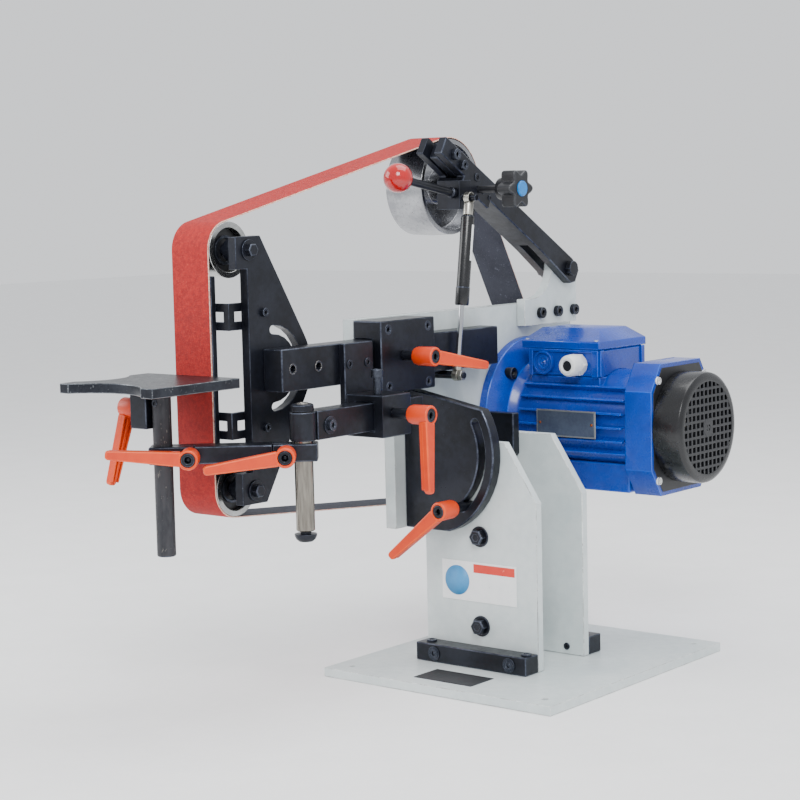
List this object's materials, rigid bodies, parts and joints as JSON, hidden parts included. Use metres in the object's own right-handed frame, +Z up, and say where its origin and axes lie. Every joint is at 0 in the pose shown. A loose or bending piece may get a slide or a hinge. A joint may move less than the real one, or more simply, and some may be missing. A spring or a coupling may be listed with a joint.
{
  "type": "belt grinder",
  "caption": "Upright bench belt grinder with a motor-driven wheel, a flat platen between two small wheels, a sprung tracking arm, a tilting head and a jointed work table.",
  "frame": {"origin": "middle of the underside of the base plate", "axes": "+X along the motor shaft towards its fan, -Y towards the user and the grinding face, +Z up"},
  "size_m": [0.3722, 0.7274, 0.588],
  "materials": {
    "grey_paint": "light grey satin powder coat",
    "black_steel": "satin black oxide, bright on worn edges",
    "bright_steel": "bare ground steel",
    "aluminium": "turned",
    "motor_blue": "blue gloss enamel over cast aluminium",
    "black_plastic": "moulded",
    "orange_lever": "moulded, with a steel stud",
    "red_ball": "polished ball on a black rod",
    "abrasive": "red abrasive grain on a dark cloth backing",
    "white_plastic": "moulded",
    "copper": "wound stator, plain ring"
  },
  "bodies": {
    "base": {"base_plate": "grey_paint", "front_upright": "grey_paint", "rear_upright": "grey_paint", "front_foot_bar": "black_steel", "rear_foot_bar": "black_steel", "lower_tie_bar": "black_steel", "upper_tie_bar": "black_steel", "tilt_pivot_pin": "bright_steel"},
    "tilt_clamp": {"tilt_lever": "orange_lever"},
    "head": {"main_plate": "grey_paint", "tilt_quadrant": "black_steel", "rear_pivot_ear": "black_steel", "arm_receiver": "black_steel", "tension_bracket": "grey_paint", "tension_pivot_bolt": "black_steel", "motor_housing": "motor_blue", "motor_stator": "copper", "motor_end_shield": "aluminium", "fan_shroud": "motor_blue", "fan_guard": "black_plastic", "terminal_box": "motor_blue", "terminal_box_lid": "motor_blue", "cable_gland": "white_plastic", "blanking_plug": "black_plastic", "gas_spring_foot_stud": "black_steel", "abrasive_belt": "abrasive"},
    "arm_clamp": {"arm_lever": "orange_lever"},
    "rotor": {"motor_rotor": "bright_steel", "drive_wheel": "aluminium", "cooling_fan": "black_plastic"},
    "tension": {"tension_arm": "black_steel", "tension_handle": "red_ball"},
    "gas_rod": {"gas_spring_rod": "bright_steel"},
    "gas_cylinder": {"gas_spring_cylinder": "black_steel"},
    "track_knob": {"tracking_knob": "black_plastic"},
    "track_carrier": {"tracking_carrier": "black_steel"},
    "track_wheel": {"tracking_wheel": "aluminium"},
    "tool": {"tool_arm": "black_steel", "rest_bracket": "black_steel", "rest_receiver": "black_steel"},
    "platen_frame": {"platen_side_plate": "black_steel", "platen": "black_steel", "upper_platen_bracket": "black_steel", "lower_platen_bracket": "black_steel", "top_wheel_bolt": "black_steel", "bottom_wheel_bolt": "black_steel"},
    "top_wheel": {"top_platen_wheel": "aluminium"},
    "bottom_wheel": {"bottom_platen_wheel": "aluminium"},
    "rest_arm_clamp": {"rest_arm_lever": "orange_lever"},
    "rest_slide": {"rest_arm": "black_steel", "swivel_post": "bright_steel"},
    "link": {"rest_link": "black_steel"},
    "link_near_clamp": {"link_near_lever": "orange_lever"},
    "link_far_clamp": {"link_far_lever": "orange_lever"},
    "post": {"rest_post": "black_steel"},
    "table": {"rest_table": "black_steel", "table_knuckle": "black_steel"},
    "table_clamp": {"table_lever": "orange_lever"}
  },
  "joints": [
    {"name": "tilt_clamp_turn", "type": "hinge", "parent": "base", "child": "tilt_clamp", "pos_m": [-0.02564, -0.09, 0.18558], "axis": [0, -1, 0], "range_deg": [0, 90]},
    {"name": "head_tilt", "type": "hinge", "parent": "base", "child": "head", "pos_m": [-0.076, -0.02, 0.2425], "axis": [0, 1, 0], "range_deg": [0, 60]},
    {"name": "arm_clamp_turn", "type": "hinge", "parent": "head", "child": "arm_clamp", "pos_m": [-0.05, -0.1215, 0.352], "axis": [1, 0, 0], "range_deg": [0, 90]},
    {"name": "drive_spin", "type": "hinge", "parent": "head", "child": "rotor", "pos_m": [-0.1584, 0.155, 0.26], "axis": [1, 0, 0], "continuous": true},
    {"name": "tension_swing", "type": "hinge", "parent": "head", "child": "tension", "pos_m": [-0.1, 0.2196, 0.4306], "axis": [1, 0, 0], "range_deg": [0, 10], "stiffness_Nm_per_rad": 40, "springref_deg": -28.65, "deforming": ["abrasive_belt"]},
    {"name": "gas_rod_lean", "type": "hinge", "parent": "head", "child": "gas_rod", "pos_m": [-0.0725, -0.0209, 0.322], "axis": [1, 0, 0], "range_deg": [0, 3.5]},
    {"name": "gas_spring_stroke", "type": "slide", "parent": "gas_rod", "child": "gas_cylinder", "axis": [0, 0.1449, 0.9894], "range_m": [-0.045, 0]},
    {"name": "track_knob_turn", "type": "hinge", "parent": "tension", "child": "track_knob", "pos_m": [-0.06, 0.0396, 0.527], "axis": [1, 0, 0], "range_deg": [-360, 360]},
    {"name": "tracking_swing", "type": "hinge", "parent": "tension", "child": "track_carrier", "pos_m": [-0.1, -0.00498, 0.56554], "axis": [0, 0.515, 0.8572], "range_deg": [-1.5, 1.5]},
    {"name": "track_wheel_spin", "type": "hinge", "parent": "track_carrier", "child": "track_wheel", "pos_m": [-0.1584, 0.053, 0.531], "axis": [1, 0, 0], "continuous": true},
    {"name": "tool_arm_slide", "type": "slide", "parent": "head", "child": "tool", "axis": [0, -1, 0], "range_m": [-0.005, 0.03], "deforming": ["abrasive_belt"]},
    {"name": "platen_tilt", "type": "hinge", "parent": "tool", "child": "platen_frame", "pos_m": [-0.1, -0.2846, 0.35], "axis": [1, 0, 0], "range_deg": [-6, 6], "deforming": ["abrasive_belt"]},
    {"name": "top_wheel_spin", "type": "hinge", "parent": "platen_frame", "child": "top_wheel", "pos_m": [-0.1584, -0.3175, 0.4715], "axis": [1, 0, 0], "continuous": true},
    {"name": "bottom_wheel_spin", "type": "hinge", "parent": "platen_frame", "child": "bottom_wheel", "pos_m": [-0.1584, -0.3175, 0.2285], "axis": [1, 0, 0], "continuous": true},
    {"name": "rest_arm_clamp_turn", "type": "hinge", "parent": "tool", "child": "rest_arm_clamp", "pos_m": [0, -0.1952, 0.2995], "axis": [1, 0, 0], "range_deg": [0, 90]},
    {"name": "rest_arm_slide", "type": "slide", "parent": "tool", "child": "rest_slide", "axis": [0, -1, 0], "range_m": [0, 0.06]},
    {"name": "rest_swing", "type": "hinge", "parent": "rest_slide", "child": "link", "pos_m": [-0.047, -0.309, 0.27], "axis": [0, 0, 1], "range_deg": [0, 90]},
    {"name": "link_near_clamp_turn", "type": "hinge", "parent": "link", "child": "link_near_clamp", "pos_m": [-0.04077, -0.34252, 0.2705], "axis": [0.628, -0.7782, 0], "range_deg": [0, 90]},
    {"name": "link_far_clamp_turn", "type": "hinge", "parent": "link", "child": "link_far_clamp", "pos_m": [-0.11439, -0.40193, 0.2705], "axis": [0.628, -0.7782, 0], "range_deg": [0, 90]},
    {"name": "post_lift", "type": "slide", "parent": "link", "child": "post", "axis": [0, 0, 1], "range_m": [-0.014, 0.07]},
    {"name": "table_tilt", "type": "hinge", "parent": "post", "child": "table", "pos_m": [-0.17, -0.39673, 0.316], "axis": [1, 0, 0], "range_deg": [-2, 45]},
    {"name": "table_clamp_turn", "type": "hinge", "parent": "table", "child": "table_clamp", "pos_m": [-0.2, -0.39673, 0.316], "axis": [-1, 0, 0], "range_deg": [-20, 60]}
  ],
  "couplings": [
    {"joint": "gas_rod_lean", "follows": "tension_swing", "ratio": 0.239},
    {"joint": "gas_spring_stroke", "follows": "tension_swing", "m_per_rad": -0.225},
    {"joint": "tracking_swing", "follows": "track_knob_turn", "ratio": 0.004167},
    {"joint": "track_wheel_spin", "follows": "drive_spin", "ratio": 1.8018},
    {"joint": "top_wheel_spin", "follows": "drive_spin", "ratio": 3.5088},
    {"joint": "bottom_wheel_spin", "follows": "drive_spin", "ratio": 3.5088}
  ]
}
